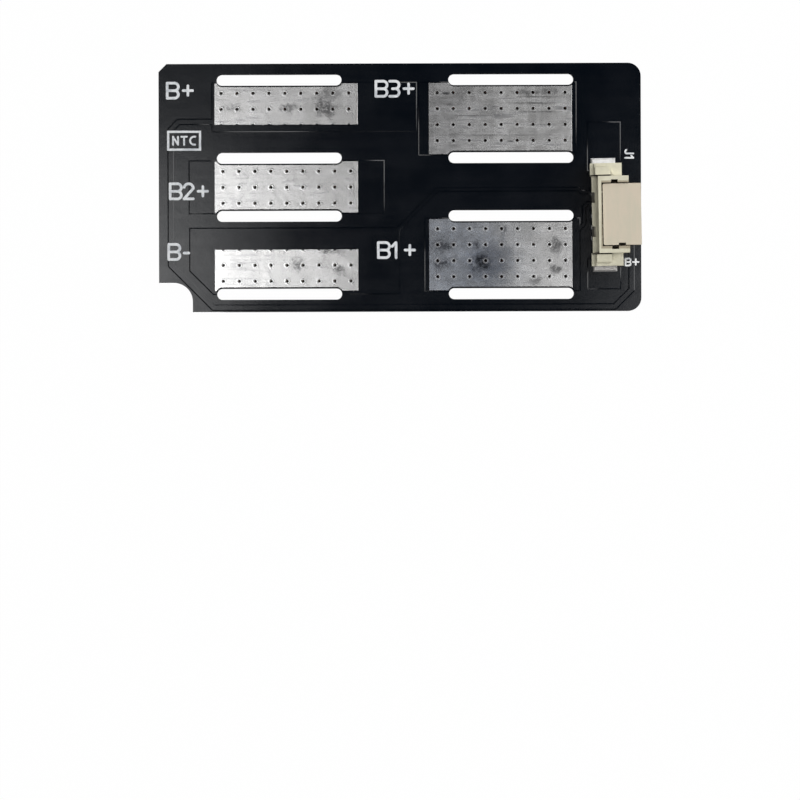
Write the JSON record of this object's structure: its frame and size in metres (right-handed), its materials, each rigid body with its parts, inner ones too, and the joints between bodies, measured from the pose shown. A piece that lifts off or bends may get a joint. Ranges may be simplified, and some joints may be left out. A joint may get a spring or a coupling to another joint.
{
  "type": "battery tab board",
  "caption": "Flat black circuit board with eight tab slots, tinned solder pads, rows of plated holes and a cream side-entry connector at one edge.",
  "frame": {"origin": "middle of the underside, at the centre of the board's box", "axes": "+X along the board towards the connector, +Y across it away from the notched corner, +Z out of the side with the tinned pads"},
  "size_m": [0.0544, 0.028, 0.0049],
  "materials": {
    "mask": "black solder mask on glass-fibre laminate, semi-gloss",
    "copper": "etched copper foil and plated copper",
    "tin": "levelled solder coat, bright, with fine scratches and flux smudges",
    "ink": "white legend ink",
    "housing": "cream glass-filled nylon",
    "insert": "tan glass-filled nylon",
    "contact": "tin-plated bronze strip",
    "hold_down": "tin-plated brass sheet",
    "solder": "reflowed solder"
  },
  "bodies": {
    "root": {"board": "mask", "copper_b_plus": "copper", "copper_b3_plus": "copper", "copper_b2_plus": "copper", "copper_b1_plus": "copper", "copper_b_minus": "copper", "anchor_pad_upper": "copper", "anchor_pad_lower": "copper", "tin_b_plus": "tin", "tin_b3_plus": "tin", "tin_b2_plus": "tin", "tin_b1_plus": "tin", "tin_b_minus": "tin", "legend_ink": "ink", "connector_housing": "housing", "connector_insert": "insert", "contact_1": "contact", "contact_2": "contact", "contact_3": "contact", "contact_4": "contact", "contact_5": "contact", "contact_solder_1": "solder", "contact_solder_2": "solder", "contact_solder_3": "solder", "contact_solder_4": "solder", "contact_solder_5": "solder", "hold_down_upper": "hold_down", "hold_down_lower": "hold_down", "hold_down_solder_upper": "solder", "hold_down_solder_lower": "solder"}
  },
  "joints": []
}
